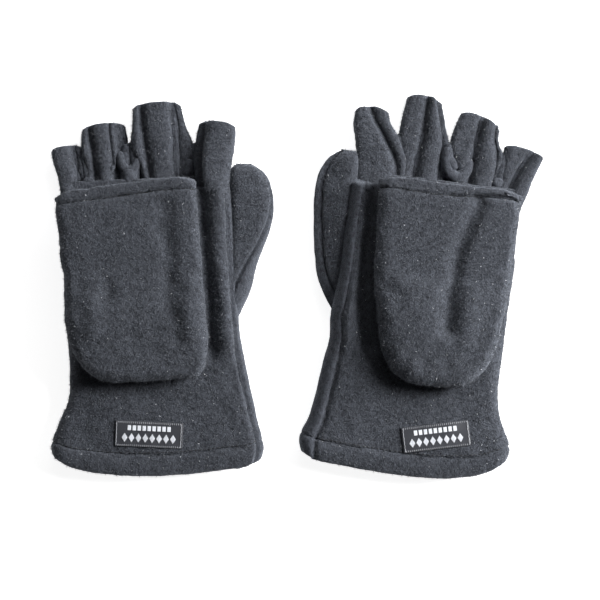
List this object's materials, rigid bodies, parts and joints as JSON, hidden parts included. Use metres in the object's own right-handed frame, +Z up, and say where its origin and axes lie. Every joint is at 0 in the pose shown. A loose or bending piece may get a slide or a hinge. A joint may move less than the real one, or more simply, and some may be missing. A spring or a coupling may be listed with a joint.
{
  "type": "convertible mittens",
  "caption": "Fleece mittens, one left and one right, with open finger stalls, closed thumbs and a flip-over cap hinged at the knuckles of each, lying flat with the caps folded back.",
  "frame": {"origin": "middle of the footprint of the pair, on the surface it lies on", "axes": "+X from the left mitten to the right one, +Y from the cuffs towards the fingertips, +Z up, from palm to back of the hand"},
  "size_m": [0.2716, 0.2136, 0.0321],
  "materials": {
    "fleece": "napped charcoal fleece",
    "thread": "sewing thread, slightly glossy",
    "label": "woven damask label, satin"
  },
  "bodies": {
    "left_hand": {"left_back_panel": "fleece", "left_palm_panel": "fleece", "left_cuff_hem_back": "fleece", "left_cuff_hem_palm": "fleece", "left_cuff_hem_thread": "thread", "left_cap_hinge_seam": "thread", "left_label": "label"},
    "left_little_stall": {"left_little_finger_back": "fleece", "left_little_finger_palm": "fleece", "left_little_thumbward_fourchette": "fleece"},
    "left_ring_stall": {"left_ring_finger_back": "fleece", "left_ring_finger_palm": "fleece", "left_ring_outward_fourchette": "fleece", "left_ring_thumbward_fourchette": "fleece"},
    "left_middle_stall": {"left_middle_finger_back": "fleece", "left_middle_finger_palm": "fleece", "left_middle_outward_fourchette": "fleece", "left_middle_thumbward_fourchette": "fleece"},
    "left_index_stall": {"left_index_finger_back": "fleece", "left_index_finger_palm": "fleece", "left_index_outward_fourchette": "fleece"},
    "left_thumb": {"left_thumb_back": "fleece", "left_thumb_palm": "fleece"},
    "left_cap": {"left_cap_top_panel": "fleece", "left_cap_mouth_hem": "fleece", "left_cap_hem_thread": "thread", "left_cap_under_panel": "fleece"},
    "right_hand": {"right_back_panel": "fleece", "right_palm_panel": "fleece", "right_cuff_hem_back": "fleece", "right_cuff_hem_palm": "fleece", "right_cuff_hem_thread": "thread", "right_cap_hinge_seam": "thread", "right_label": "label"},
    "right_little_stall": {"right_little_finger_back": "fleece", "right_little_finger_palm": "fleece", "right_little_thumbward_fourchette": "fleece"},
    "right_ring_stall": {"right_ring_finger_back": "fleece", "right_ring_finger_palm": "fleece", "right_ring_outward_fourchette": "fleece", "right_ring_thumbward_fourchette": "fleece"},
    "right_middle_stall": {"right_middle_finger_back": "fleece", "right_middle_finger_palm": "fleece", "right_middle_outward_fourchette": "fleece", "right_middle_thumbward_fourchette": "fleece"},
    "right_index_stall": {"right_index_finger_back": "fleece", "right_index_finger_palm": "fleece", "right_index_outward_fourchette": "fleece"},
    "right_thumb": {"right_thumb_back": "fleece", "right_thumb_palm": "fleece"},
    "right_cap": {"right_cap_top_panel": "fleece", "right_cap_mouth_hem": "fleece", "right_cap_hem_thread": "thread", "right_cap_under_panel": "fleece"}
  },
  "joints": [
    {"name": "left_little_curl", "type": "hinge", "parent": "left_hand", "child": "left_little_stall", "pos_m": [-0.12204, 0.05812, 0], "axis": [-0.9989, -0.0471, 0], "range_deg": [0, 70]},
    {"name": "left_ring_curl", "type": "hinge", "parent": "left_hand", "child": "left_ring_stall", "pos_m": [-0.10007, 0.05916, 0], "axis": [-0.9989, -0.0471, 0], "range_deg": [0, 70]},
    {"name": "left_middle_curl", "type": "hinge", "parent": "left_hand", "child": "left_middle_stall", "pos_m": [-0.07509, 0.06034, 0], "axis": [-0.9989, -0.0471, 0], "range_deg": [0, 70]},
    {"name": "left_index_curl", "type": "hinge", "parent": "left_hand", "child": "left_index_stall", "pos_m": [-0.04862, 0.06158, 0], "axis": [-0.9989, -0.0471, 0], "range_deg": [0, 70]},
    {"name": "left_thumb_curl", "type": "hinge", "parent": "left_hand", "child": "left_thumb", "pos_m": [-0.02684, -0.00646, 0.007], "axis": [-0.9989, -0.0471, 0], "range_deg": [0, 45]},
    {"name": "left_cap_flip", "type": "hinge", "parent": "left_hand", "child": "left_cap", "pos_m": [-0.09332, 0.05948, 0.019], "axis": [-0.9989, -0.0471, 0], "range_deg": [0, 180]},
    {"name": "right_mitten_lift", "type": "slide", "parent": "left_hand", "child": "right_hand", "axis": [0, 0, 1], "range_m": [0, 0.12]},
    {"name": "right_little_curl", "type": "hinge", "parent": "right_hand", "child": "right_little_stall", "pos_m": [0.11829, 0.05451, 0], "axis": [-0.9932, 0.1167, 0], "range_deg": [0, 70]},
    {"name": "right_ring_curl", "type": "hinge", "parent": "right_hand", "child": "right_ring_stall", "pos_m": [0.09644, 0.05708, 0], "axis": [-0.9932, 0.1167, 0], "range_deg": [0, 70]},
    {"name": "right_middle_curl", "type": "hinge", "parent": "right_hand", "child": "right_middle_stall", "pos_m": [0.07161, 0.06, 0], "axis": [-0.9932, 0.1167, 0], "range_deg": [0, 70]},
    {"name": "right_index_curl", "type": "hinge", "parent": "right_hand", "child": "right_index_stall", "pos_m": [0.04529, 0.06309, 0], "axis": [-0.9932, 0.1167, 0], "range_deg": [0, 70]},
    {"name": "right_thumb_curl", "type": "hinge", "parent": "right_hand", "child": "right_thumb", "pos_m": [0.01882, -0.00328, 0.007], "axis": [-0.9932, 0.1167, 0], "range_deg": [0, 45]},
    {"name": "right_cap_flip", "type": "hinge", "parent": "right_hand", "child": "right_cap", "pos_m": [0.08974, 0.05787, 0.019], "axis": [-0.9932, 0.1167, 0], "range_deg": [0, 180]}
  ]
}
